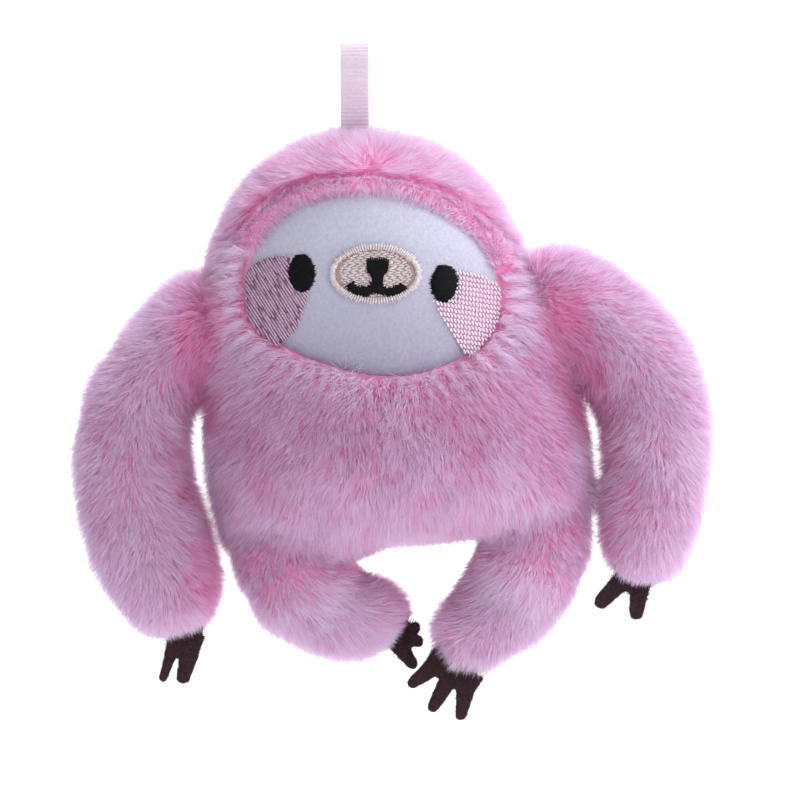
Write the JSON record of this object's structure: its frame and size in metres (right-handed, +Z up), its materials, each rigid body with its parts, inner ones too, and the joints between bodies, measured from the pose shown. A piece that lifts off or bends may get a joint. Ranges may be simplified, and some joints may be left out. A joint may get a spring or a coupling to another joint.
{
  "type": "plush sloth",
  "caption": "Small fur-covered plush sloth with an embroidered face patch, felt claws, arms and legs that turn at their seams, and a ribbon loop to hang it by.",
  "frame": {"origin": "on the inside of the ribbon loop's crown, where a ring or cord carries the toy", "axes": "+Z up through the crown of the head, +X to the viewer's right when looking at the face, -Y the way the face looks; left and right in every name are the viewer's"},
  "size_m": [0.1271, 0.0488, 0.1354],
  "materials": {
    "fur": "soft pink pile about 6 mm long, deeper pink at its roots",
    "minky": "short white velvety pile",
    "black_thread": "raised satin stitch in black thread",
    "pink_thread": "flat rows of pink stitches with a soft sheen",
    "cream_thread": "cream satin border round flat cream stitches",
    "felt": "dark brown matted felt",
    "ribbon": "thin ribbed ribbon, slightly glossy and translucent",
    "stuffing": "loose white polyester fibre"
  },
  "bodies": {
    "hanger": {"ribbon_loop": "ribbon"},
    "body": {"hood_left": "fur", "hood_right": "fur", "belly_panel": "fur", "back_panel": "fur", "body_stuffing": "stuffing", "face_patch": "minky", "left_eye": "black_thread", "right_eye": "black_thread", "left_cheek": "pink_thread", "right_cheek": "pink_thread", "muzzle_border": "cream_thread", "muzzle_fill": "cream_thread", "nose": "black_thread", "mouth": "black_thread"},
    "left_arm": {"left_arm_cover": "fur", "left_arm_stuffing": "stuffing", "left_hand_claws": "felt"},
    "right_arm": {"right_arm_cover": "fur", "right_arm_stuffing": "stuffing", "right_hand_claws": "felt"},
    "left_leg": {"left_leg_cover": "fur", "left_leg_stuffing": "stuffing", "left_foot_claws": "felt"},
    "right_leg": {"right_leg_cover": "fur", "right_leg_stuffing": "stuffing", "right_foot_claws": "felt"}
  },
  "joints": [
    {"name": "loop_swing", "type": "hinge", "parent": "hanger", "child": "body", "pos_m": [0, 0, -0.016], "axis": [1, 0, 0], "range_deg": [-60, 60]},
    {"name": "left_shoulder", "type": "hinge", "parent": "body", "child": "left_arm", "pos_m": [-0.02834, 0, -0.05716], "axis": [-1, 0, 0], "range_deg": [-45, 90], "stiffness_Nm_per_rad": 0.0035},
    {"name": "right_shoulder", "type": "hinge", "parent": "body", "child": "right_arm", "pos_m": [0.03781, 0, -0.05493], "axis": [-0.9278, 0, -0.373], "range_deg": [-45, 90], "stiffness_Nm_per_rad": 0.0035},
    {"name": "left_hip", "type": "hinge", "parent": "body", "child": "left_leg", "pos_m": [-0.01114, 0, -0.1064], "axis": [-0.3903, 0, -0.9207], "range_deg": [-45, 60], "stiffness_Nm_per_rad": 0.003},
    {"name": "right_hip", "type": "hinge", "parent": "body", "child": "right_leg", "pos_m": [0.03439, 0, -0.1034], "axis": [-0.8211, 0, 0.5708], "range_deg": [-30, 45], "stiffness_Nm_per_rad": 0.003}
  ]
}
